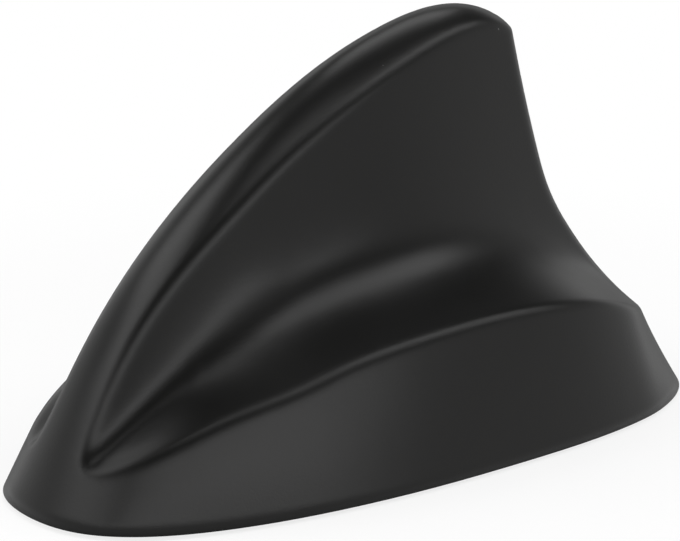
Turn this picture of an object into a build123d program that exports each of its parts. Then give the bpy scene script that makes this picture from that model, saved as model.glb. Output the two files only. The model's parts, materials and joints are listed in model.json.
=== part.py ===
from build123d import *
import math
import os

# Roof aerial in millimetres. +X runs from nose to tail, +Y to the vehicle's right, +Z up.
# The origin is on the roof bolt's axis at the roof plane.

# cover, outer form
LENGTH = 130.0
WIDTH = 61.0
COVER_HEIGHT = 69.4
FIN_THICKNESS = 16.4
SCOOP_BLEND = 4.6
FIN_DRAFT = 2.0
EDGE_RADIUS = 1.8
WALL = 2.2
RIM_GAP = 0.5

# cover, inner rib and screw bosses
RIB_WIDTH = 2.0
BOSS_DIAMETER = 6.4
BOSS_SPREAD = 30.6
BOSS_STATIONS = (-26.0, 8.0, 35.0)

# screws
COVER_SCREW_DIAMETER = 3.0
COVER_SCREW_LENGTH = 11.0
COVER_HEAD_DIAMETER = 5.4
COVER_HEAD_HEIGHT = 1.5
BOARD_SCREW_DIAMETER = 2.5
BOARD_SCREW_LENGTH = 5.0
BOARD_HEAD_DIAMETER = 4.5
BOARD_HEAD_HEIGHT = 1.4
PILOT_SPARE = 0.5
HOLE_PLAY = 0.4
FIT = 0.05
ROOT = 0.5

# base, seals and roof bolt
SEAL_THICKNESS = 2.2
SEAL_INSET = 4.8
SEAL_LAP = 5.0
BASE_THICKNESS = 2.6
BASE_WIDTH = 47.0
CORD_HEIGHT = 1.6
BOLT_DIAMETER = 6.0
BOLT_TAP_DIAMETER = 5.0
BOLT_DEPTH = 5.6
INSERT_DIAMETER = 9.2
INSERT_FLANGE_DIAMETER = 13.0
INSERT_FLANGE_THICKNESS = 1.0
INSERT_RECESS = 0.6
INSERT_LENGTH = 6.4
BOLT_BOSS_DIAMETER = 17.0
BOSS_TO_BOARD = 0.4
VENT_DIAMETER = 6.4
VENT_FLANGE_DIAMETER = 9.0
VENT_FLANGE_THICKNESS = 0.8
VENT_STATION = -28.0
VENT_RECESS = 0.4

# circuit board
BOARD_LENGTH = 82.0
BOARD_WIDTH = 21.4
BOARD_THICKNESS = 1.6
BOARD_CENTRE = 4.0
BOARD_CORNER = 2.0
STANDOFF_HEIGHT = 2.8
STANDOFF_DIAMETER = 5.0
STANDOFF_SPACING_X = 76.0
STANDOFF_SPACING_Y = 15.0

# sockets under the board
SOCKET_PITCH = 8.6
SOCKET_COUNT = 3
SOCKET_BLOCK_WIDTH = 9.0
SOCKET_BORE = 6.6
SOCKET_SHELL = 4.2
SOCKET_SHELL_WALL = 0.4
SHELL_SETBACK = 1.0
SOCKET_PIN = 0.9
PIN_SETBACK = 1.6
PIN_SINK = 0.2
PIN_ROUND = 0.25
SOCKET_CENTRE = 24.0
SOCKET_RECESS = 0.4
SOCKET_ROOF = 1.8
SOCKET_CORNER = 1.0
WINDOW_CLEARANCE = 0.3

# positioning aerial
PATCH_SIDE = 16.0
PATCH_THICKNESS = 4.0
PATCH_CHAMFER = 0.6
ELECTRODE_SIDE = 12.4
ELECTRODE_THICKNESS = 0.2
ELECTRODE_CHAMFER = 2.0
PATCH_CENTRE = -23.4
FEED_DIAMETER = 1.2
FEED_OFFSET = 2.2
FEED_HEAD = 0.5
FEED_TAIL = 0.6

# screening can
CAN_LENGTH = 12.0
CAN_WIDTH = 9.0
CAN_HEIGHT = 3.2
CAN_WALL = 0.4
CAN_CORNER = 1.0
CAN_TOP_ROUND = 0.6
CAN_CENTRE = 37.4

# telephone blades
BLADE_THICKNESS = 0.8
FRONT_BLADE_LENGTH = 8.0
FRONT_BLADE_CENTRE = -11.0
REAR_BLADE_LENGTH = 7.5
REAR_BLADE_CENTRE = 25.6
BLADE_SKIRT = 6.0
REAR_BLADE_HEIGHT = 33.0
REAR_BLADE_CUT = 2.5
CLIP_METAL = 0.4
CLIP_LENGTH = 4.0
CLIP_HEIGHT = 3.4

# radio element
PLATE_METAL = 0.5
PLATE_WIDTH = 7.6
PLATE_FRONT = -5.0
PLATE_REAR = 21.0
PLATE_SIDE_HEIGHT = 15.0
PLATE_SKIRT = 7.5
CARRIER_WEB = 2.4
CARRIER_FRONT = 3.6
CARRIER_REAR = 19.0
CARRIER_FOOT_WIDTH = 9.0
CARRIER_FOOT_THICKNESS = 2.0
CARRIER_FLANGE = 2.0
CARRIER_MARGIN = 0.6
CARRIER_CORNER = 1.2
FORMER_DIAMETER = 4.6
FORMER_HEIGHT = 13.0
COIL_DIAMETER = 6.4
COIL_HEIGHT = 9.0
COIL_STATION = -2.4
LEAD_WIDTH = 1.8
LEAD_THICKNESS = 0.4

# levels above the roof
BASE_Z = SEAL_THICKNESS
BASE_TOP = BASE_Z + BASE_THICKNESS
RIB_Z = BASE_TOP + CORD_HEIGHT
BOARD_Z = BASE_TOP + STANDOFF_HEIGHT
BOARD_TOP = BOARD_Z + BOARD_THICKNESS

# curves of the outer form as shares of length and height
FOOT = 4.0
NOSE_OVERRUN = 2.2
WIDEST = 0.538
NOSE_FULLNESS = 0.46
NOSE_REACH = 0.42
ROLL_BLEND = 1.6
CREST_LINE = [
    (0.0, 0.0), (0.0438, 0.147), (0.1185, 0.372), (0.2223, 0.586), (0.3308, 0.753), (0.4638, 0.906),
    (0.5846, 0.987), (0.6615, 1.0), (0.7462, 0.932), (0.8231, 0.692), (0.9115, 0.288), (1.0, 0.0),
]
TRAIL_LINE = [
    (0.675, 1.371), (0.7304, 0.892), (0.7471, 0.778), (0.7728, 0.620), (0.7923, 0.522), (0.8195, 0.436),
    (0.8508, 0.350), (0.8831, 0.264), (0.9192, 0.172), (0.9692, 0.080), (1.0769, -0.045),
]

# scoop sections: station, half thickness, root height, blend,
# shelf slope in degrees, roll-off, roll-off reach
SCOOP_ROWS = [
    (-0.092, 0.640, -0.043, 0.26, 2, 0.3, 0.14),
    (0.046, 0.700, 0.104, 0.30, 0, 0.3, 0.18),
    (0.092, 0.710, 0.150, 0.39, 0, 0.35, 0.28),
    (0.135, 0.720, 0.200, 0.50, 5, 0.35, 0.36),
    (0.192, 0.755, 0.270, 0.70, 15, 0.3, 0.44),
    (0.331, 0.902, 0.375, 0.91, 24, 0.15, 0.50),
    (0.485, 1.0, 0.421, 1.0, 25.5, 0.0, 0.54),
    (0.623, 0.902, 0.407, 1.0, 20, 0.0, 0.54),
    (0.769, 0.660, 0.340, 0.96, 13.5, 0.0, 0.54),
    (0.908, 0.488, 0.203, 0.96, 12, 0.0, 0.54),
    (1.115, 0.488, 0.0, 0.96, 12, 0.0, 0.54),
]

NOSE_X = -LENGTH / 2


def side_points(shares):
    return [(NOSE_X + s * LENGTH, z * COVER_HEIGHT) for s, z in shares]


def side_curve(points):
    return Spline(*[(x, 0, z) for x, z in points])


def height_on(curve, x):
    post = Line((x, 0, -2 * COVER_HEIGHT), (x, 0, 3 * COVER_HEIGHT)).edge()
    return post.intersect(curve.edge()).vertices()[0].Z


def inward(curve, distance, samples=18):
    # the curve moved square to itself, towards the inside of the cover
    moved = []
    for i in range(samples):
        at = i / (samples - 1)
        point, along = curve @ at, curve % at
        moved.append((point.X + along.Z * distance, point.Z - along.X * distance))
    return moved


def crest_curve():
    # drawn once to find its top, then again at the true height
    points = side_points(CREST_LINE)
    top = side_curve(points).bounding_box().max.Z
    points = [(x, z * COVER_HEIGHT / top) for x, z in points]
    lead = (points[0][0] - NOSE_OVERRUN, -FOOT)
    trail = (points[-1][0] + NOSE_OVERRUN, -FOOT)
    return side_curve([lead] + points + [trail])


CREST = crest_curve()
TRAIL = side_curve(side_points(TRAIL_LINE))


def foot_outline(x, inset):
    # half width of the cover where its walls run on below the rim
    widest_x = NOSE_X + WIDEST * LENGTH
    top = height_on(CREST, widest_x)
    half = WIDTH / 2 * math.sqrt((top + FOOT) / top) - inset
    if x < widest_x:
        reach = (widest_x - x) / (widest_x - NOSE_X + NOSE_OVERRUN - 1.15 * inset)
        return half * max(1 - reach ** 2.2, 0) ** (1 / 2.6)
    reach = (x - widest_x) / (LENGTH / 2 + NOSE_OVERRUN - 1.15 * inset - widest_x)
    return half * max(1 - reach ** 2.8, 0) ** (1 / 2.8)


def arch(x, inset, crest):
    # fuller shoulders towards the nose, a parabola behind it
    half, top = foot_outline(x, inset), height_on(crest, x)
    share = min(max((x - NOSE_X) / (NOSE_REACH * LENGTH), 0), 1)
    ease = share ** 2 * (3 - 2 * share)
    lobe = half * (NOSE_FULLNESS + (1 / 3 - NOSE_FULLNESS) * ease)
    head = top + (top + FOOT) / 3
    bow = Bezier((x, -half, -FOOT), (x, -lobe, head), (x, lobe, head), (x, half, -FOOT))
    sill = Line((x, half, -FOOT), (x, -half, -FOOT))
    return make_face([bow.edge(), sill.edge()])


def envelope(inset):
    # arches under the crest line, closer together at nose and tail
    crest = CREST if inset == 0 else side_curve(inward(CREST, inset))
    first = NOSE_X - NOSE_OVERRUN + 1.15 * inset
    last = LENGTH / 2 + NOSE_OVERRUN - 1.15 * inset
    steps = [0.03, 0.09, 0.16, 0.24, 0.32, 0.40, 0.47, 0.53]
    steps += [0.58, 0.63, 0.69, 0.75, 0.81, 0.87, 0.93, 0.975]
    stations = [first + (last - first) * (1 - math.cos(math.pi * u)) / 2 for u in steps]
    return loft([arch(x, inset, crest) for x in stations])


def scoop_section(row, inset):
    # upright blade and sloping shelf joined by a hyperbola, the shelf rolled off further out
    station, thickness, root, blend_share, slope_angle, roll, roll_reach = row
    x = NOSE_X + station * LENGTH
    lean, slope = math.radians(FIN_DRAFT), math.radians(slope_angle)
    rise = 0.79 * COVER_HEIGHT
    half = max(thickness * FIN_THICKNESS / 2 - inset, rise * math.sin(lean) + 0.4)
    z = root * COVER_HEIGHT - inset
    blend = blend_share * SCOOP_BLEND + 0.6 * inset
    high, low = math.log(rise / blend), math.log(0.74 * WIDTH / blend)
    rows = 15
    outline = []
    for i in range(rows):
        step = high - (low + high) * i / (rows - 1)
        up, out = blend * math.exp(step), blend * math.exp(-step)
        y = half - up * math.sin(lean) + out * math.cos(slope)
        past = (out - roll_reach * WIDTH / 2) / ROLL_BLEND
        fall = roll * ROLL_BLEND * math.log1p(math.exp(past))
        outline.append((y, z + up * math.cos(lean) - out * math.sin(slope) - fall))
    (y_top, z_top), (y_out, z_out) = outline[0], outline[-1]
    z_low = -COVER_HEIGHT
    right = Spline(*[(x, y, h) for y, h in outline])
    left = Spline(*[(x, -y, h) for y, h in reversed(outline)])
    under = Polyline((x, y_out, z_out), (x, y_out, z_low), (x, -y_out, z_low), (x, -y_out, z_out))
    top = Line((x, -y_top, z_top), (x, y_top, z_top))
    return make_face(right.edges() + under.edges() + left.edges() + top.edges())


def scooped(inset):
    # the blade and shelves, cut off behind the trailing line
    body = loft([scoop_section(row, inset) for row in SCOOP_ROWS])
    curve = [(p.X, p.Z) for p in [TRAIL @ (i / 20) for i in range(21)]]
    if inset > 0:
        curve = inward(TRAIL, inset, 21)
    (x0, z0), (x1, z1) = curve[0], curve[-1]
    far = 1.4 * LENGTH
    with BuildSketch(Plane.XZ.offset(-WIDTH)) as behind:
        with BuildLine():
            Spline(*curve)
            Polyline((x1, z1), (far, z1), (far, z0), (x0, z0))
        make_face()
    return body - extrude(behind.sketch, amount=2 * WIDTH)


def fin_form(inset):
    return envelope(inset) & scooped(inset)


def inset_outline(inset, z):
    # plan outline of the foot drawn in by an inset, as a flat face
    nose = NOSE_X + inset
    tail = LENGTH / 2 - inset
    half = WIDTH / 2 - inset
    middle = NOSE_X + WIDEST * LENGTH
    points = []
    for i in range(13):
        x = middle - (middle - nose) * math.sin(math.pi / 2 * i / 12)
        share = max(1 - ((middle - x) / (middle - nose)) ** 2.2, 0) ** (1 / 2.4)
        points.append((x, half * share))
    for i in range(1, 13):
        x = middle + (tail - middle) * math.sin(math.pi / 2 * i / 12)
        share = max(1 - ((x - middle) / (tail - middle)) ** 2.8, 0) ** (1 / 2.6)
        points.append((x, half * share))
    points = sorted(points)
    upper = Spline(*points, tangents=[(0, 1), (0, -1)])
    lower = Spline(*[(x, -y) for x, y in reversed(points)], tangents=[(0, -1), (0, 1)])
    return Pos(0, 0, z) * make_face(upper.edges() + lower.edges())


def base_slab(inset, z, height):
    # base outline: straight runs tangent to six corner rounds
    rounds = []
    for x, radius, half in BASE_ROUNDS:
        rounds += [Pos(x, side * (half - radius)) * Circle(radius - inset) for side in (-1, 1)]
    outline = make_hull([e for c in rounds for e in c.edges()])
    return extrude(Pos(0, 0, z) * outline, amount=height, dir=(0, 0, 1))


def ring(z, height):
    return base_slab(0, z, height) - base_slab(RIB_WIDTH, z - 1, height + 2)


def post(x, y, z, diameter, height):
    return Pos(x, y, z + height / 2) * Cylinder(diameter / 2, height)


def block(x, y, z, length, width, height):
    return Pos(x, y, z + height / 2) * Box(length, width, height)


def place(y_list, x_list):
    return [(x, y) for x in x_list for y in y_list]


# base corner rounds: station, radius, half width
BASE_ROUNDS = [
    (-31.0, 10.0, 0.426 * BASE_WIDTH),
    (5.0, 14.0, 0.5 * BASE_WIDTH),
    (40.0, 12.0, 0.447 * BASE_WIDTH),
]
BOSSES = place((-BOSS_SPREAD / 2, BOSS_SPREAD / 2), BOSS_STATIONS)
STANDOFFS = place((-STANDOFF_SPACING_Y / 2, STANDOFF_SPACING_Y / 2),
                  (BOARD_CENTRE - STANDOFF_SPACING_X / 2, BOARD_CENTRE + STANDOFF_SPACING_X / 2))
SOCKETS = [SOCKET_CENTRE + (i - (SOCKET_COUNT - 1) / 2) * SOCKET_PITCH for i in range(SOCKET_COUNT)]
SOCKET_LENGTH = SOCKET_PITCH * SOCKET_COUNT
LIFT = Pos(0, 0, RIM_GAP)

parts = {}

# cover: moulded shell with a seal rib and six screw bosses
outer = fin_form(0) & Pos(0, 0, COVER_HEIGHT) * Box(2 * LENGTH, 2 * WIDTH, 2 * COVER_HEIGHT)
rim_face = outer.faces().filter_by(GeomType.PLANE).sort_by(Axis.Z)[0]
rim_edges = rim_face.edges()
form_edges = [e for e in outer.edges() if not any(e.is_same(r) for r in rim_edges)]
outer = fillet(form_edges, EDGE_RADIUS)
shell = LIFT * (outer - fin_form(WALL))
mid_wall = LIFT * fin_form(WALL / 2)
inside = [ring(RIB_Z, COVER_HEIGHT / 2) & mid_wall]
pilot_depth = COVER_SCREW_LENGTH - BASE_THICKNESS + COVER_HEAD_HEIGHT + PILOT_SPARE
for x, y in BOSSES:
    boss = post(x, y, BASE_TOP, BOSS_DIAMETER, COVER_HEIGHT / 2) & mid_wall
    pilot = post(x, y, BASE_TOP - 1, COVER_SCREW_DIAMETER + 2 * FIT, pilot_depth + 1)
    inside.append(boss - pilot)
parts["cover"] = shell.solids()[0].fuse(*[s for piece in inside for s in piece.solids()])

# roof seal: flat rubber ring under the base, reaching to the cover's rim
seal = extrude(inset_outline(SEAL_INSET, 0), amount=SEAL_THICKNESS, dir=(0, 0, 1))
parts["roof_seal"] = seal - base_slab(SEAL_LAP, -1, SEAL_THICKNESS + 2)

# cover seal: cord between base and rib
parts["cover_seal"] = ring(BASE_TOP, CORD_HEIGHT)

# base plate: die-cast plate with bolt boss, standoffs and openings
base = base_slab(0, BASE_Z, BASE_THICKNESS)
insert_z = INSERT_RECESS + INSERT_FLANGE_THICKNESS
base = base + post(0, 0, insert_z, BOLT_BOSS_DIAMETER, BOARD_Z - BOSS_TO_BOARD - insert_z)
for x, y in STANDOFFS:
    base = base + post(x, y, BASE_TOP - ROOT, STANDOFF_DIAMETER, STANDOFF_HEIGHT + ROOT)
insert_depth = INSERT_LENGTH - INSERT_FLANGE_THICKNESS
base = base - post(0, 0, insert_z - 1, INSERT_DIAMETER + 2 * FIT, insert_depth + 1)
board_pilot_z = BOARD_TOP - BOARD_SCREW_LENGTH - PILOT_SPARE
for x, y in STANDOFFS:
    base = base - post(x, y, board_pilot_z, BOARD_SCREW_DIAMETER + 2 * FIT, BOARD_SCREW_LENGTH + 1)
for x, y in BOSSES:
    base = base - post(x, y, BASE_Z - 1, COVER_SCREW_DIAMETER + HOLE_PLAY, BASE_THICKNESS + 2)
    base = base - post(x, y, BASE_Z - 1, COVER_HEAD_DIAMETER + HOLE_PLAY, COVER_HEAD_HEIGHT + 1)
window = (SOCKET_LENGTH + 2 * WINDOW_CLEARANCE, SOCKET_BLOCK_WIDTH + 2 * WINDOW_CLEARANCE)
base = base - block(SOCKET_CENTRE, 0, BASE_Z - 1, window[0], window[1], BASE_THICKNESS + 2)
base = base - post(VENT_STATION, 0, BASE_Z - 1, VENT_DIAMETER + 2 * FIT, BASE_THICKNESS + 2)
parts["base_plate"] = base

# bolt insert: flanged steel nut pressed into the base
insert = post(0, 0, INSERT_RECESS, INSERT_FLANGE_DIAMETER, INSERT_FLANGE_THICKNESS)
insert = insert + post(0, 0, INSERT_RECESS, INSERT_DIAMETER, INSERT_LENGTH)
insert = insert - post(0, 0, INSERT_RECESS - 1, BOLT_TAP_DIAMETER, BOLT_DEPTH + 1)
circles = insert.edges().filter_by(GeomType.CIRCLE).sort_by(Axis.Z)
mouth = [e for e in circles if abs(e.radius - BOLT_TAP_DIAMETER / 2) < 0.01][0]
insert = chamfer(mouth, (BOLT_DIAMETER - BOLT_TAP_DIAMETER) / 2)
parts["bolt_insert"] = insert

# vent plug: flanged plug in the base
vent = post(VENT_STATION, 0, BASE_TOP, VENT_FLANGE_DIAMETER, VENT_FLANGE_THICKNESS)
vent = vent + post(VENT_STATION, 0, BASE_Z + VENT_RECESS, VENT_DIAMETER, BASE_THICKNESS)
parts["vent_plug"] = vent

# main board
board = block(BOARD_CENTRE, 0, BOARD_Z, BOARD_LENGTH, BOARD_WIDTH, BOARD_THICKNESS)
board = fillet(board.edges().filter_by(Axis.Z), BOARD_CORNER)
for x, y in STANDOFFS:
    board = board - post(x, y, BOARD_Z - 1, BOARD_SCREW_DIAMETER + HOLE_PLAY, BOARD_THICKNESS + 2)
feed_x = PATCH_CENTRE + FEED_OFFSET
board = board - post(feed_x, 0, BOARD_Z - 1, FEED_DIAMETER + 2 * FIT, BOARD_THICKNESS + 2)
for x in SOCKETS:
    board = board - post(x, 0, BOARD_Z - 1, SOCKET_PIN + 2 * FIT, BOARD_THICKNESS + 2)
parts["main_board"] = board


def screw(x, y, seat, head, head_height, shank, length, up):
    # pan head on its seat, shank on the far side
    if up:
        body = post(x, y, seat, head, head_height) + post(x, y, seat - length, shank, length)
        rim = body.edges().filter_by(GeomType.CIRCLE).sort_by(Axis.Z)[-1]
        slot = block(x, y, seat + 0.5 * head_height, 0.7 * head, 0.16 * head, head_height)
    else:
        body = post(x, y, seat - head_height, head, head_height) + post(x, y, seat, shank, length)
        rim = body.edges().filter_by(GeomType.CIRCLE).sort_by(Axis.Z)[0]
        slot = block(x, y, seat - 1.5 * head_height, 0.7 * head, 0.16 * head, head_height)
    body = fillet(rim, 0.35 * head_height)
    return body - slot - Pos(x, y, 0) * Rot(0, 0, 90) * Pos(-x, -y, 0) * slot


# screws
board_sizes = (BOARD_HEAD_DIAMETER, BOARD_HEAD_HEIGHT, BOARD_SCREW_DIAMETER, BOARD_SCREW_LENGTH)
board_screws = [screw(x, y, BOARD_TOP, *board_sizes, True) for x, y in STANDOFFS]
parts["board_screws"] = Compound(children=board_screws)
head_seat = BASE_Z + COVER_HEAD_HEIGHT
cover_sizes = (COVER_HEAD_DIAMETER, COVER_HEAD_HEIGHT, COVER_SCREW_DIAMETER, COVER_SCREW_LENGTH)
cover_screws = [screw(x, y, head_seat, *cover_sizes, False) for x, y in BOSSES]
parts["cover_screws"] = Compound(children=cover_screws)

# sockets: one moulded block, three shells and three pins
socket_height = BOARD_Z - SOCKET_RECESS
socket = block(SOCKET_CENTRE, 0, SOCKET_RECESS, SOCKET_LENGTH, SOCKET_BLOCK_WIDTH, socket_height)
socket = fillet(socket.edges().filter_by(Axis.Z), SOCKET_CORNER)
bore_depth = socket_height - SOCKET_ROOF
for x in SOCKETS:
    socket = socket - post(x, 0, SOCKET_RECESS - 1, SOCKET_BORE, bore_depth + 1)
    socket = socket - post(x, 0, SOCKET_RECESS, SOCKET_PIN + 2 * FIT, BOARD_Z)
parts["socket_block"] = socket
shells = []
for x in SOCKETS:
    tube = post(x, 0, SOCKET_RECESS + SHELL_SETBACK, SOCKET_SHELL, bore_depth - SHELL_SETBACK)
    tube_bore = post(x, 0, SOCKET_RECESS, SOCKET_SHELL - 2 * SOCKET_SHELL_WALL, bore_depth + 2)
    shells.append(tube - tube_bore)
parts["socket_shells"] = Compound(children=shells)
pins = []
pin_z = SOCKET_RECESS + PIN_SETBACK
for x in SOCKETS:
    pin = post(x, 0, pin_z, SOCKET_PIN, BOARD_TOP - PIN_SINK - pin_z)
    pins.append(fillet(pin.edges().filter_by(GeomType.CIRCLE).sort_by(Axis.Z)[0], PIN_ROUND))
parts["socket_pins"] = Compound(children=pins)

# positioning aerial: ceramic patch, electrode and feed pin
patch = block(PATCH_CENTRE, 0, BOARD_TOP, PATCH_SIDE, PATCH_SIDE, PATCH_THICKNESS)
patch = chamfer(patch.edges().filter_by(Axis.Z), PATCH_CHAMFER)
patch = patch - post(feed_x, 0, BOARD_TOP - 1, FEED_DIAMETER + 2 * FIT, PATCH_THICKNESS + 2)
parts["gnss_patch"] = patch
electrode_z = BOARD_TOP + PATCH_THICKNESS
electrode = block(PATCH_CENTRE, 0, electrode_z, ELECTRODE_SIDE, ELECTRODE_SIDE, ELECTRODE_THICKNESS)
electrode = chamfer(electrode.edges().filter_by(Axis.Z).sort_by(Axis.X)[0], ELECTRODE_CHAMFER)
electrode = chamfer(electrode.edges().filter_by(Axis.Z).sort_by(Axis.X)[-1], ELECTRODE_CHAMFER)
electrode = electrode - post(feed_x, 0, electrode_z - 1, FEED_DIAMETER + 2 * FIT, 3)
parts["gnss_electrode"] = electrode
feed_top = electrode_z + ELECTRODE_THICKNESS
feed = post(feed_x, 0, BOARD_Z - FEED_TAIL, FEED_DIAMETER, feed_top - BOARD_Z + FEED_TAIL)
feed = feed + post(feed_x, 0, feed_top, 2 * FEED_DIAMETER, FEED_HEAD)
parts["gnss_feed"] = feed

# screening can
can = block(CAN_CENTRE, 0, BOARD_TOP, CAN_LENGTH, CAN_WIDTH, CAN_HEIGHT)
can = fillet(can.edges().filter_by(Axis.Z), CAN_CORNER)
can = fillet(can.faces().sort_by(Axis.Z)[-1].edges(), CAN_TOP_ROUND)
can_room = (CAN_LENGTH - 2 * CAN_WALL, CAN_WIDTH - 2 * CAN_WALL, CAN_HEIGHT + 1 - CAN_WALL)
can = can - block(CAN_CENTRE, 0, BOARD_TOP - 1, *can_room)
parts["shield_can"] = can


def upright(points, y, thickness):
    # flat plate in the middle plane from its side view
    face = make_face(Polyline(*[(x, y - thickness / 2, z) for x, z in points], close=True).edges())
    return extrude(face, amount=thickness, dir=(0, 1, 0))


def roof_over(x):
    return height_on(CREST, x) + RIM_GAP - WALL


# telephone blades and their clips
half_front = FRONT_BLADE_LENGTH / 2
f0, f1 = FRONT_BLADE_CENTRE - half_front, FRONT_BLADE_CENTRE + half_front
foot_z = BOARD_TOP + CLIP_METAL
front_low, front_high = roof_over(f0) - 2 * BLADE_SKIRT, roof_over(f1) - 2 * BLADE_SKIRT
front_side = [(f0, foot_z), (f1, foot_z), (f1, front_high), (f0, front_low)]
parts["front_blade"] = upright(front_side, 0, BLADE_THICKNESS)
half_rear = REAR_BLADE_LENGTH / 2
r0, r1 = REAR_BLADE_CENTRE - half_rear, REAR_BLADE_CENTRE + half_rear
rear_top = BOARD_TOP + REAR_BLADE_HEIGHT
rear_side = [(r0, foot_z), (r1, foot_z), (r1, rear_top - BLADE_SKIRT)]
rear_side += [(r1 - REAR_BLADE_CUT, rear_top), (r0, rear_top)]
parts["rear_blade"] = upright(rear_side, 0, BLADE_THICKNESS)


def clip(x):
    outside = block(x, 0, BOARD_TOP, CLIP_LENGTH, BLADE_THICKNESS + 2 * CLIP_METAL, CLIP_HEIGHT)
    return outside - block(x, 0, BOARD_TOP + CLIP_METAL, CLIP_LENGTH + 2, BLADE_THICKNESS, CLIP_HEIGHT)


parts["front_clip"] = clip(FRONT_BLADE_CENTRE)
parts["rear_clip"] = clip(REAR_BLADE_CENTRE)

# radio element: folded plate on a moulded carrier
p0, p1 = PLATE_FRONT, PLATE_REAR
z0, z1 = roof_over(p0) - PLATE_SKIRT, roof_over(p1) - PLATE_SKIRT
side = [(p0, z0 - PLATE_SIDE_HEIGHT), (p1, z1 - PLATE_SIDE_HEIGHT), (p1, z1), (p0, z0)]
hat = upright(side, 0, PLATE_WIDTH)
slope = (z1 - z0) / (p1 - p0)


def under_plate(x):
    return z0 + slope * (x - p0) - PLATE_METAL


h0, h1 = p0 - 5, p1 + 5
drop = 2 * PLATE_SIDE_HEIGHT
hollow_side = [(h0, under_plate(h0) - drop), (h1, under_plate(h1) - drop)]
hollow_side += [(h1, under_plate(h1)), (h0, under_plate(h0))]
parts["radio_plate"] = hat - upright(hollow_side, 0, PLATE_WIDTH - 2 * PLATE_METAL)
c0, c1 = CARRIER_FRONT, CARRIER_REAR
web_z = BOARD_TOP + 0.5 * CARRIER_FOOT_THICKNESS
carrier_top = [(c1, under_plate(c1)), (c0, under_plate(c0))]
web = upright([(c0, web_z), (c1, web_z)] + carrier_top, 0, CARRIER_WEB)
flange_low = [(c0, under_plate(c0) - CARRIER_FLANGE), (c1, under_plate(c1) - CARRIER_FLANGE)]
flange = upright(flange_low + carrier_top, 0, PLATE_WIDTH - 2 * PLATE_METAL - 2 * FIT)
foot_front = COIL_STATION - COIL_DIAMETER / 2 - CARRIER_MARGIN
foot_sizes = (c1 - foot_front, CARRIER_FOOT_WIDTH, CARRIER_FOOT_THICKNESS)
foot = block((foot_front + c1) / 2, 0, BOARD_TOP, *foot_sizes)
foot = fillet(foot.edges().filter_by(Axis.Z), CARRIER_CORNER)
former_z = BOARD_TOP + CARRIER_FOOT_THICKNESS
former = post(COIL_STATION, 0, former_z - ROOT, FORMER_DIAMETER, FORMER_HEIGHT + ROOT)
parts["element_carrier"] = foot + web + flange + former
coil = post(COIL_STATION, 0, former_z, COIL_DIAMETER, COIL_HEIGHT)
coil_bore = post(COIL_STATION, 0, former_z - 1, FORMER_DIAMETER + 2 * FIT, COIL_HEIGHT + 2)
parts["radio_coil"] = coil - coil_bore
l0, l1 = COIL_STATION - LEAD_THICKNESS / 2, COIL_STATION + LEAD_THICKNESS / 2
lead_z = former_z + FORMER_HEIGHT
lead_side = [(l0, lead_z), (l1, lead_z), (l1, under_plate(l1)), (l0, under_plate(l0))]
parts["radio_lead"] = upright(lead_side, 0, LEAD_WIDTH)

os.makedirs("parts", exist_ok=True)
for name, shape in parts.items():
    export_step(shape, "parts/" + name + ".step")
    box = shape.bounding_box()
    print(name, shape.is_valid, len(shape.solids()), round(shape.volume, 1),
          [round(v, 2) for v in (box.min.X, box.max.X, box.min.Y, box.max.Y, box.min.Z, box.max.Z)])
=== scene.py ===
import bmesh
import bpy
import json
import math
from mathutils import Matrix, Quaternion, Vector

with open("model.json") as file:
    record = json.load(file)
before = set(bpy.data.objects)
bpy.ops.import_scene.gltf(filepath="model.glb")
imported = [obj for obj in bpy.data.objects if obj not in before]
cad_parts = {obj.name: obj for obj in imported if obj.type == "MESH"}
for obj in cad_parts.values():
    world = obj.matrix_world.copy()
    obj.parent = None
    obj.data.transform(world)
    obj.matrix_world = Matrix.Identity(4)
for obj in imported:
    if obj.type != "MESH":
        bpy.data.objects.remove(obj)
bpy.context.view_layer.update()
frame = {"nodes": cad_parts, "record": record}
nodes = frame["nodes"]
print("frame loaded,", len(nodes), "pieces")


class Tap:  # one output socket that can be added, scaled and compared
    def __init__(self, sheet, socket):
        self.sheet = sheet
        self.socket = socket

    def sums(self, operation, first, second):
        return self.sheet.node("Math", {"operation": operation}, {0: first, 1: second})

    def __add__(self, other):
        return self.sums("ADD", self, other)

    def __radd__(self, other):
        return self.sums("ADD", other, self)

    def __sub__(self, other):
        return self.sums("SUBTRACT", self, other)

    def __rsub__(self, other):
        return self.sums("SUBTRACT", other, self)

    def __mul__(self, other):
        return self.sums("MULTIPLY", self, other)

    def __rmul__(self, other):
        return self.sums("MULTIPLY", other, self)

    def __gt__(self, other):
        return self.sums("GREATER_THAN", self, other)

    def __lt__(self, other):
        return self.sums("LESS_THAN", self, other)


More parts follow.
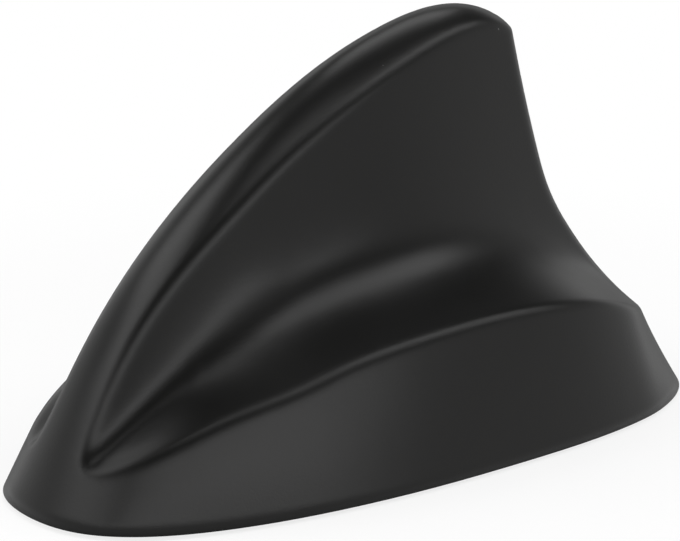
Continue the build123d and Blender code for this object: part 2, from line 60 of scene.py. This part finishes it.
class NodeSheet:  # the nodes of one material or of the world
    def __init__(self, owner):
        owner.use_nodes = True
        self.owner = owner
        self.tree = owner.node_tree
        self.tree.nodes.clear()

    def node(self, kind, settings=None, sockets=None, out=0):
        made = self.tree.nodes.new("ShaderNode" + kind)
        for name, value in (settings or {}).items():
            if name == "stops":
                for stop, (position, shade) in zip(self.stopsOf(made, len(value)), value):
                    stop.position = position
                    stop.color = (shade, shade, shade, 1)
            else:
                setattr(made, name, value)
        for name, value in (sockets or {}).items():
            if isinstance(value, Tap):
                self.tree.links.new(value.socket, made.inputs[name])
            else:
                made.inputs[name].default_value = value
        if made.outputs:
            return Tap(self, made.outputs[out])

    def stopsOf(self, ramp, count):
        stops = ramp.color_ramp.elements
        while len(stops) < count:
            stops.new(1.0)
        return stops

    def noise(self, scale, detail=2.0, stretch=(1, 1, 1)):
        place = self.node("TexCoord", out="Object")
        place = self.node("Mapping", {}, {"Vector": place, "Scale": stretch})
        return self.node("TexNoise", {}, {"Vector": place, "Scale": scale, "Detail": detail})

    def ramp(self, value, stops):
        return self.node("ValToRGB", {"stops": stops}, {"Fac": value})

    def blend(self, share, first, second):  # factor, both colours and result of a colour mix
        return self.node("Mix", {"data_type": "RGBA"}, {0: share, 6: first, 7: second}, out=2)

    def tint(self, share, low, high):
        return self.blend(share, (*low, 1), (*high, 1))

    def fade(self, value, start, end, first=0.0, last=1.0):  # a soft step from first to last
        return self.node("MapRange", {"interpolation_type": "SMOOTHSTEP"}, {
            "Value": value, "From Min": start, "From Max": end, "To Min": first, "To Max": last})

    def bump(self, height, depth, over=None):
        sockets = {"Height": height, "Distance": depth, "Strength": 1.0}
        if over:
            sockets["Normal"] = over
        return self.node("Bump", {}, sockets)

    def surface(self, sockets):
        shader = self.node("BsdfPrincipled", {}, sockets)
        self.node("OutputMaterial", {}, {"Surface": shader})
        return self.owner


def newSheet(name):
    return NodeSheet(bpy.data.materials.new(name))


def around(middle, spread, pattern):  # a value that wanders with a pattern
    return middle + spread * (pattern - 0.5)


coverLook = {
    "deep": (0.0023, 0.0023, 0.0021),
    "light": (0.0037, 0.0037, 0.0034),
    "cloud": (34.0, 3.0),  # a noise is given by its scale, its detail and its stretch
    "grain": (2600.0, 3.0),
    "grainDepth": 0.000012,
    "roughness": 0.30,
    "roughnessSpread": 0.05,
    "grazeRoughness": 0.25,  # grained plastic loses its gloss where it is seen edge on
    "grazeRange": (0.60, 0.95),
    "gloss": 0.22,
    "edgeSoftness": 0.0026,  # reach of the rounder shading at the edges
    "edgeSamples": 8,
    "dustShade": (0.10, 0.10, 0.10),
    "dustScale": 240.0,
    "dustSize": 0.035,
    "dustFrom": 0.93,  # cells drawn above this have a speck
}


def coverPlastic():
    sheet = newSheet("coverPlastic")
    grain = sheet.noise(*coverLook["grain"])
    cloud = sheet.noise(*coverLook["cloud"])
    place = sheet.node("TexCoord", out="Object")
    cells = {"Vector": place, "Scale": coverLook["dustScale"]}
    near = sheet.node("TexVoronoi", {}, cells, out="Distance")
    pick = sheet.node("TexVoronoi", {}, cells, out="Color")
    pick = sheet.node("SeparateColor", {}, {"Color": pick})
    dust = (near < coverLook["dustSize"]) * (pick > coverLook["dustFrom"])
    colour = sheet.tint(cloud, coverLook["deep"], coverLook["light"])
    colour = sheet.blend(dust, colour, (*coverLook["dustShade"], 1))
    edgeOn = sheet.node("LayerWeight", {}, {"Blend": 0.5}, out="Facing")
    edgeOn = sheet.fade(edgeOn, *coverLook["grazeRange"])
    rough = coverLook["roughness"] + coverLook["roughnessSpread"] * (cloud + grain - 1.0)
    rough = rough + coverLook["grazeRoughness"] * edgeOn
    soft = sheet.node("Bevel", {"samples": coverLook["edgeSamples"]},
                      {"Radius": coverLook["edgeSoftness"]})
    return sheet.surface({
        "Base Color": colour,
        "Roughness": rough,
        "Specular IOR Level": coverLook["gloss"],
        "Normal": sheet.bump(grain, coverLook["grainDepth"], soft),
    })


rubberLook = {
    "deep": (0.010, 0.010, 0.011),
    "light": (0.022, 0.022, 0.022),
    "flow": (160.0, 4.0, (1, 1, 3)),
    "grain": (3200.0, 2.0),
    "grainDepth": 0.00002,
    "roughness": 0.72,
    "roughnessSpread": 0.2,
}


def sealRubber():
    sheet = newSheet("sealRubber")
    flow = sheet.noise(*rubberLook["flow"])
    grain = sheet.noise(*rubberLook["grain"])
    return sheet.surface({
        "Base Color": sheet.tint(flow, rubberLook["deep"], rubberLook["light"]),
        "Roughness": around(rubberLook["roughness"], rubberLook["roughnessSpread"], flow),
        "Normal": sheet.bump(grain, rubberLook["grainDepth"]),
    })


alloyLook = {
    "deep": (0.36, 0.36, 0.37),
    "light": (0.62, 0.62, 0.63),
    "flow": (70.0, 6.0, (0.6, 1.4, 1)),
    "flowStops": [(0.32, 0.0), (0.68, 1.0)],
    "pits": (1500.0, 3.0),
    "pitDepth": 0.00003,
    "roughness": 0.44,
    "pitRoughness": 0.16,
    "flowRoughness": 0.1,
}


def castAlloy():
    sheet = newSheet("castAlloy")
    flow = sheet.noise(*alloyLook["flow"])
    pits = sheet.noise(*alloyLook["pits"])
    shade = sheet.ramp(flow, alloyLook["flowStops"])
    rough = around(alloyLook["roughness"], alloyLook["pitRoughness"], pits)
    return sheet.surface({
        "Base Color": sheet.tint(shade, alloyLook["deep"], alloyLook["light"]),
        "Metallic": 1.0,
        "Roughness": around(rough, alloyLook["flowRoughness"], flow),
        "Normal": sheet.bump(pits, alloyLook["pitDepth"]),
    })


steelLook = {
    "deep": (0.50, 0.49, 0.45),
    "light": (0.72, 0.71, 0.67),
    "bloom": (420.0, 4.0),
    "marks": (2400.0, 2.0, (1, 1, 0.15)),
    "markDepth": 0.000012,
    "roughness": 0.30,
    "roughnessSpread": 0.18,
}


def platedSteel():
    sheet = newSheet("platedSteel")
    bloom = sheet.noise(*steelLook["bloom"])
    marks = sheet.noise(*steelLook["marks"])
    return sheet.surface({
        "Base Color": sheet.tint(bloom, steelLook["deep"], steelLook["light"]),
        "Metallic": 1.0,
        "Roughness": around(steelLook["roughness"], steelLook["roughnessSpread"], marks),
        "Normal": sheet.bump(marks, steelLook["markDepth"]),
    })


carrierLook = {
    "deep": (0.50, 0.46, 0.38),
    "light": (0.62, 0.58, 0.49),
    "flow": (110.0, 3.0, (1, 1, 0.4)),
    "grain": (2600.0, 2.0),
    "grainDepth": 0.000015,
    "roughness": 0.46,
    "roughnessSpread": 0.12,
}


def innerPlastic():
    sheet = newSheet("innerPlastic")
    flow = sheet.noise(*carrierLook["flow"])
    grain = sheet.noise(*carrierLook["grain"])
    return sheet.surface({
        "Base Color": sheet.tint(flow, carrierLook["deep"], carrierLook["light"]),
        "Roughness": around(carrierLook["roughness"], carrierLook["roughnessSpread"], grain),
        "Normal": sheet.bump(grain, carrierLook["grainDepth"]),
    })


boardLook = {
    "mask": (0.006, 0.060, 0.026),
    "trace": (0.014, 0.110, 0.046),
    "edge": (0.42, 0.38, 0.22),
    "traceRows": {"offset": 0.37, "squash": 1.6, "squash_frequency": 3},
    "traceSizes": {"Scale": 300.0, "Mortar Size": 0.045, "Mortar Smooth": 0.2,
                   "Brick Width": 1.3, "Row Height": 0.42},
    "weave": (1800.0, 2.0),
    "traceShare": 0.7,  # of the relief, the rest is the weave's
    "weaveShare": 0.3,
    "reliefDepth": 0.00003,
    "roughness": 0.26,
    "rimRoughness": 0.45,  # added on the sawn edge
    "roughnessSpread": 0.1,
}


def boardLaminate():
    sheet = newSheet("boardLaminate")
    place = sheet.node("TexCoord", out="Object")
    traces = sheet.node("TexBrick", boardLook["traceRows"],
                        {"Vector": place, **boardLook["traceSizes"]}, out="Fac")
    facing = sheet.node("NewGeometry", out="Normal")
    facing = sheet.node("SeparateXYZ", {}, {"Vector": facing}, out="Z")
    rim = facing * facing < 0.5  # faces that stand upright
    weave = sheet.noise(*boardLook["weave"])
    colour = sheet.tint(traces, boardLook["mask"], boardLook["trace"])
    rough = boardLook["roughness"] + boardLook["rimRoughness"] * rim
    relief = traces * boardLook["traceShare"] + weave * boardLook["weaveShare"]
    return sheet.surface({
        "Base Color": sheet.blend(rim, colour, (*boardLook["edge"], 1)),
        "Roughness": around(rough, boardLook["roughnessSpread"], weave),
        "Normal": sheet.bump(relief, boardLook["reliefDepth"]),
    })


socketLook = {
    "deep": (0.045, 0.050, 0.058),
    "light": (0.075, 0.080, 0.090),
    "flow": (240.0, 3.0),
    "grain": (3000.0, 2.0),
    "grainDepth": 0.000015,
    "roughness": 0.42,
    "roughnessSpread": 0.14,
}


def socketPlastic():
    sheet = newSheet("socketPlastic")
    flow = sheet.noise(*socketLook["flow"])
    grain = sheet.noise(*socketLook["grain"])
    return sheet.surface({
        "Base Color": sheet.tint(flow, socketLook["deep"], socketLook["light"]),
        "Roughness": around(socketLook["roughness"], socketLook["roughnessSpread"], grain),
        "Normal": sheet.bump(grain, socketLook["grainDepth"]),
    })


brassLook = {
    "deep": (0.62, 0.40, 0.14),
    "light": (0.86, 0.64, 0.30),
    "stain": (700.0, 4.0),
    "turned": (5200.0, 1.0, (0.1, 0.1, 1)),
    "turnedDepth": 0.000006,
    "roughness": 0.24,
    "roughnessSpread": 0.16,
}


def contactBrass():
    sheet = newSheet("contactBrass")
    stain = sheet.noise(*brassLook["stain"])
    turned = sheet.noise(*brassLook["turned"])
    return sheet.surface({
        "Base Color": sheet.tint(stain, brassLook["deep"], brassLook["light"]),
        "Metallic": 1.0,
        "Roughness": around(brassLook["roughness"], brassLook["roughnessSpread"], stain),
        "Normal": sheet.bump(turned, brassLook["turnedDepth"]),
    })


ceramicLook = {
    "deep": (0.40, 0.33, 0.24),
    "light": (0.55, 0.47, 0.36),
    "speck": (0.20, 0.15, 0.10),
    "cloud": (300.0, 4.0),
    "cloudDepth": 0.00003,
    "specks": (2100.0, 2.0),
    "speckStops": [(0.66, 0.0), (0.72, 1.0)],
    "speckShare": 0.6,
    "roughness": 0.55,
    "roughnessSpread": 0.12,
}


def patchCeramic():
    sheet = newSheet("patchCeramic")
    cloud = sheet.noise(*ceramicLook["cloud"])
    specks = sheet.ramp(sheet.noise(*ceramicLook["specks"]), ceramicLook["speckStops"])
    colour = sheet.tint(cloud, ceramicLook["deep"], ceramicLook["light"])
    share = specks * ceramicLook["speckShare"]
    return sheet.surface({
        "Base Color": sheet.blend(share, colour, (*ceramicLook["speck"], 1)),
        "Roughness": around(ceramicLook["roughness"], ceramicLook["roughnessSpread"], cloud),
        "Normal": sheet.bump(cloud, ceramicLook["cloudDepth"]),
    })


silverLook = {
    "deep": (0.60, 0.58, 0.54),
    "light": (0.82, 0.81, 0.78),
    "tarnish": (260.0, 5.0),
    "screen": {"Scale": 700.0, "Distortion": 1.5, "Detail": 1.0},  # weave of the printing screen
    "screenDepth": 0.00001,
    "roughness": 0.36,
    "roughnessSpread": 0.14,
}


def silverFilm():
    sheet = newSheet("silverFilm")
    tarnish = sheet.noise(*silverLook["tarnish"])
    place = sheet.node("TexCoord", out="Object")
    screen = sheet.node("TexWave", {"bands_direction": "DIAGONAL"},
                        {"Vector": place, **silverLook["screen"]}, out="Fac")
    return sheet.surface({
        "Base Color": sheet.tint(tarnish, silverLook["deep"], silverLook["light"]),
        "Metallic": 1.0,
        "Roughness": around(silverLook["roughness"], silverLook["roughnessSpread"], tarnish),
        "Normal": sheet.bump(screen, silverLook["screenDepth"]),
    })


tinLook = {
    "deep": (0.52, 0.52, 0.52),
    "light": (0.74, 0.74, 0.73),
    "rolled": (900.0, 3.0, (0.06, 1, 1)),
    "rolledDepth": 0.000015,
    "bloom": (120.0, 4.0),
    "roughness": 0.28,
    "roughnessSpread": 0.2,
}


def tinnedSheet():
    sheet = newSheet("tinnedSheet")
    rolled = sheet.noise(*tinLook["rolled"])
    bloom = sheet.noise(*tinLook["bloom"])
    return sheet.surface({
        "Base Color": sheet.tint(bloom, tinLook["deep"], tinLook["light"]),
        "Metallic": 1.0,
        "Roughness": around(tinLook["roughness"], tinLook["roughnessSpread"], rolled),
        "Normal": sheet.bump(rolled, tinLook["rolledDepth"]),
    })


copperLook = {
    "deep": (0.42, 0.14, 0.05),
    "light": (0.72, 0.30, 0.13),
    "stain": (500.0, 3.0),
    "stainDepth": 0.00001,
    "roughness": 0.30,
    "roughnessSpread": 0.16,
    "enamel": 0.4,
    "enamelSpread": 0.4,
}


def coilCopper():
    sheet = newSheet("coilCopper")
    stain = sheet.noise(*copperLook["stain"])
    return sheet.surface({
        "Base Color": sheet.tint(stain, copperLook["deep"], copperLook["light"]),
        "Metallic": 1.0,
        "Roughness": around(copperLook["roughness"], copperLook["roughnessSpread"], stain),
        "Coat Weight": copperLook["enamel"] + copperLook["enamelSpread"] * stain,
        "Normal": sheet.bump(stain, copperLook["stainDepth"]),
    })


finishes = {
    "cover_plastic": coverPlastic(),
    "seal_rubber": sealRubber(),
    "cast_alloy": castAlloy(),
    "plated_steel": platedSteel(),
    "inner_plastic": innerPlastic(),
    "board_laminate": boardLaminate(),
    "socket_plastic": socketPlastic(),
    "contact_brass": contactBrass(),
    "patch_ceramic": patchCeramic(),
    "silver_film": silverFilm(),
    "tinned_sheet": tinnedSheet(),
    "coil_copper": coilCopper(),
}
print("finishes made,", len(finishes))

for entry in frame["record"]["subparts"]:
    piece = nodes[entry["node"]]
    piece.data.materials.clear()
    piece.data.materials.append(finishes[entry["material_slot"]])

scene = bpy.context.scene
scene.view_settings.view_transform = "Standard"

cameraLook = {
    "target": (0.0, 0.0, 0.0208),
    "eye": (-0.2219, -0.2714, 0.1239),
    "lens": 116.5,
    "sensor": 36.0,
    "nearest": 0.01,
    "shiftX": -0.0299,
    "shiftY": 0.0576,
}


def makeCamera():
    camera = bpy.data.objects.new("camera", bpy.data.cameras.new("camera"))
    scene.collection.objects.link(camera)
    camera.data.sensor_width = cameraLook["sensor"]
    camera.data.lens = cameraLook["lens"]
    camera.data.shift_x = cameraLook["shiftX"]
    camera.data.shift_y = cameraLook["shiftY"]
    camera.data.clip_start = cameraLook["nearest"]
    camera.location = cameraLook["eye"]
    sight = Vector(cameraLook["target"]) - Vector(cameraLook["eye"])
    camera.rotation_euler = sight.to_track_quat("-Z", "Y").to_euler()
    scene.camera = camera


makeCamera()
print("camera placed")

plainWhite = (1, 1, 1, 1)
floorLook = {
    "size": 6.0,
    "cells": 8,
    "drop": 0.0002,  # keeps the floor clear of the seal's flat face
    "shade": 0.97,
    "shadowReach": 0.10,
    "shadowEnd": 0.20,
    "shadowShare": 0.22,
}


def makeFloor():
    shape = bmesh.new()
    cells = floorLook["cells"]
    bmesh.ops.create_grid(shape, x_segments=cells, y_segments=cells, size=floorLook["size"] / 2)
    bmesh.ops.translate(shape, verts=shape.verts, vec=(0, 0, -floorLook["drop"]))
    mesh = bpy.data.meshes.new("floor")
    shape.to_mesh(mesh)
    shape.free()
    floor = bpy.data.objects.new("floor", mesh)
    scene.collection.objects.link(floor)
    mesh.materials.append(floorPaint())


def floorPaint():
    sheet = newSheet("floorPaint")
    place = sheet.node("TexCoord", out="Object")
    reach = sheet.node("VectorMath", {"operation": "LENGTH"}, {0: place}, out="Value")
    near = sheet.fade(reach, floorLook["shadowReach"], floorLook["shadowEnd"],
                      floorLook["shadowShare"], 0.0)
    shade = floorLook["shade"]
    paint = sheet.node("BsdfDiffuse", {}, {"Color": (shade, shade, shade, 1)})
    glow = sheet.node("Emission", {}, {"Color": plainWhite, "Strength": 1.0})
    shown = sheet.node("MixShader", {}, {0: near, 1: glow, 2: paint})
    either = sheet.node("MixShader", {}, {0: seenRays(sheet), 1: paint, 2: shown})
    sheet.node("OutputMaterial", {}, {"Surface": either})
    return sheet.owner


def seenRays(sheet):  # rays that show the background
    ways = ["Is Camera Ray", "Is Glossy Ray", "Is Transmission Ray"]
    direct, glossy, through = [sheet.node("LightPath", out=way) for way in ways]
    return direct + glossy + through > 0.5


airLook = {
    "background": 1.0,
    "ceiling": 0.12,
    "wallTop": (0.15, 0.62),  # sine of the heights where the pale wall fades out
    "ambient": 0.43,  # share of it that lights the part
}


def makeAir():
    world = bpy.data.worlds.new("studioAir")
    scene.world = world
    sheet = NodeSheet(world)
    way = sheet.node("TexCoord", out="Generated")
    rise = sheet.node("SeparateXYZ", {}, {"Vector": way}, out="Z")
    low, high = airLook["wallTop"]
    wall = sheet.fade(rise, low, high, airLook["background"], airLook["ceiling"])
    dimWall = wall * airLook["ambient"]
    dim = sheet.node("Background", {}, {"Color": plainWhite, "Strength": dimWall})
    white = sheet.node("Background", {}, {"Color": plainWhite, "Strength": wall})
    both = sheet.node("MixShader", {}, {0: seenRays(sheet), 1: dim, 2: white})
    sheet.node("OutputWorld", {}, {"Surface": both})


lampAim = (0.0, 0.0, 0.03)  # the point that every lamp faces
lampLook = {  # turn 0 is in front of the part's left side, turn -90 in front of its nose
    "front": {"turn": 46.0, "rise": 51.0, "roll": -41.0,
              "away": 1.2, "size": (0.92, 0.44), "glow": 3.67},
    "top": {"turn": -31.0, "rise": 74.0, "roll": -16.0,
            "away": 1.0, "size": (0.76, 0.22), "glow": 2.96},
    "low": {"turn": -18.0, "rise": 20.0, "roll": -9.0,
            "away": 1.1, "size": (1.86, 0.27), "glow": 3.74},
    "nose": {"turn": -98.0, "rise": 27.0, "roll": -8.0,
             "away": 1.1, "size": (1.32, 0.28), "glow": 3.04},
    "far": {"turn": -138.0, "rise": 45.0, "roll": 0.0,
            "away": 1.1, "size": (0.78, 0.44), "glow": 3.12},
    "rear": {"turn": 142.0, "rise": 56.0, "roll": 0.0,
             "away": 1.1, "size": (0.66, 0.42), "glow": 2.34},
}


def makeLamps():
    for name, look in lampLook.items():
        wide, tall = look["size"]
        lamp = bpy.data.lights.new(name, "AREA")
        lamp.shape = "RECTANGLE"
        lamp.size = wide
        lamp.size_y = tall
        lamp.energy = look["glow"] * wide * tall * math.pi  # watts that give the wanted brightness
        turn = math.radians(look["turn"])
        rise = math.radians(look["rise"])
        level = math.cos(rise)
        out = Vector((math.sin(turn) * level, -math.cos(turn) * level, math.sin(rise)))
        roll = Quaternion((0, 0, 1), math.radians(look["roll"]))
        holder = bpy.data.objects.new(name, lamp)
        scene.collection.objects.link(holder)
        holder.location = Vector(lampAim) + out * look["away"]
        holder.rotation_euler = ((-out).to_track_quat("-Z", "Y") @ roll).to_euler()
        holder.visible_camera = False


makeFloor()
makeAir()
makeLamps()
print("studio lit with", len(lampLook), "lamps")
